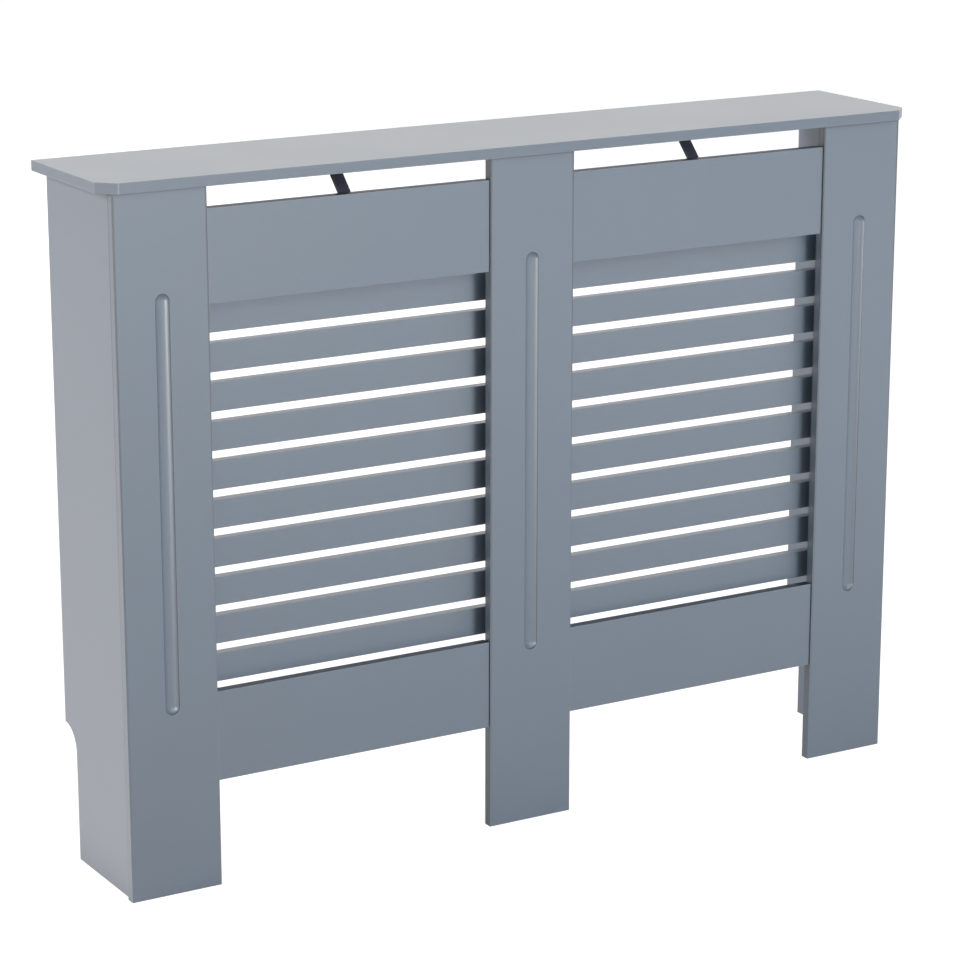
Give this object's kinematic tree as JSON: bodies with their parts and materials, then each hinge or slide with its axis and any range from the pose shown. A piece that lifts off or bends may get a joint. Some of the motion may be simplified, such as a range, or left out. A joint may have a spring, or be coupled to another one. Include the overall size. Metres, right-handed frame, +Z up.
{
  "type": "radiator cover cabinet",
  "caption": "Painted board radiator cover: shelf, notched side panels, fluted stiles, rails and horizontal slats on comb battens, with straps, brackets and wall angles.",
  "frame": {"origin": "middle of the footprint's bounding box, on the floor", "axes": "+Z up, +X to the right seen from the front, +Y towards the wall"},
  "size_m": [1.07, 0.19, 0.815],
  "materials": {
    "painted_board": "satin blue-grey paint on fibreboard",
    "batten_board": "satin blue-grey paint on fibreboard",
    "dark_steel": "dark grey lacquer on steel strip",
    "tongue_wood": "bare birch plywood",
    "plated_steel": "bright zinc plate",
    "screw_steel": "bright zinc plate"
  },
  "bodies": {
    "root": {"top_panel": "painted_board", "side_panel_left": "painted_board", "side_panel_right": "painted_board", "stile_left": "painted_board", "stile_centre": "painted_board", "stile_right": "painted_board", "top_rail_left": "painted_board", "top_rail_right": "painted_board", "bottom_rail_left": "painted_board", "bottom_rail_right": "painted_board", "slat_left_01": "painted_board", "slat_left_02": "painted_board", "slat_left_03": "painted_board", "slat_left_04": "painted_board", "slat_left_05": "painted_board", "slat_left_06": "painted_board", "slat_left_07": "painted_board", "slat_left_08": "painted_board", "slat_left_09": "painted_board", "slat_left_10": "painted_board", "slat_right_01": "painted_board", "slat_right_02": "painted_board", "slat_right_03": "painted_board", "slat_right_04": "painted_board", "slat_right_05": "painted_board", "slat_right_06": "painted_board", "slat_right_07": "painted_board", "slat_right_08": "painted_board", "slat_right_09": "painted_board", "slat_right_10": "painted_board", "batten_left_left": "batten_board", "batten_left_right": "batten_board", "batten_right_left": "batten_board", "batten_right_right": "batten_board", "strap_left": "dark_steel", "strap_right": "dark_steel", "rail_tongues": "tongue_wood", "shelf_tongues": "tongue_wood", "corner_bracket_left_lower": "plated_steel", "corner_bracket_left_upper": "plated_steel", "corner_bracket_right_lower": "plated_steel", "corner_bracket_right_upper": "plated_steel", "wall_bracket_left": "plated_steel", "wall_bracket_right": "plated_steel", "corner_bracket_screws": "screw_steel", "wall_bracket_screws": "screw_steel", "strap_screws": "screw_steel"}
  },
  "joints": []
}
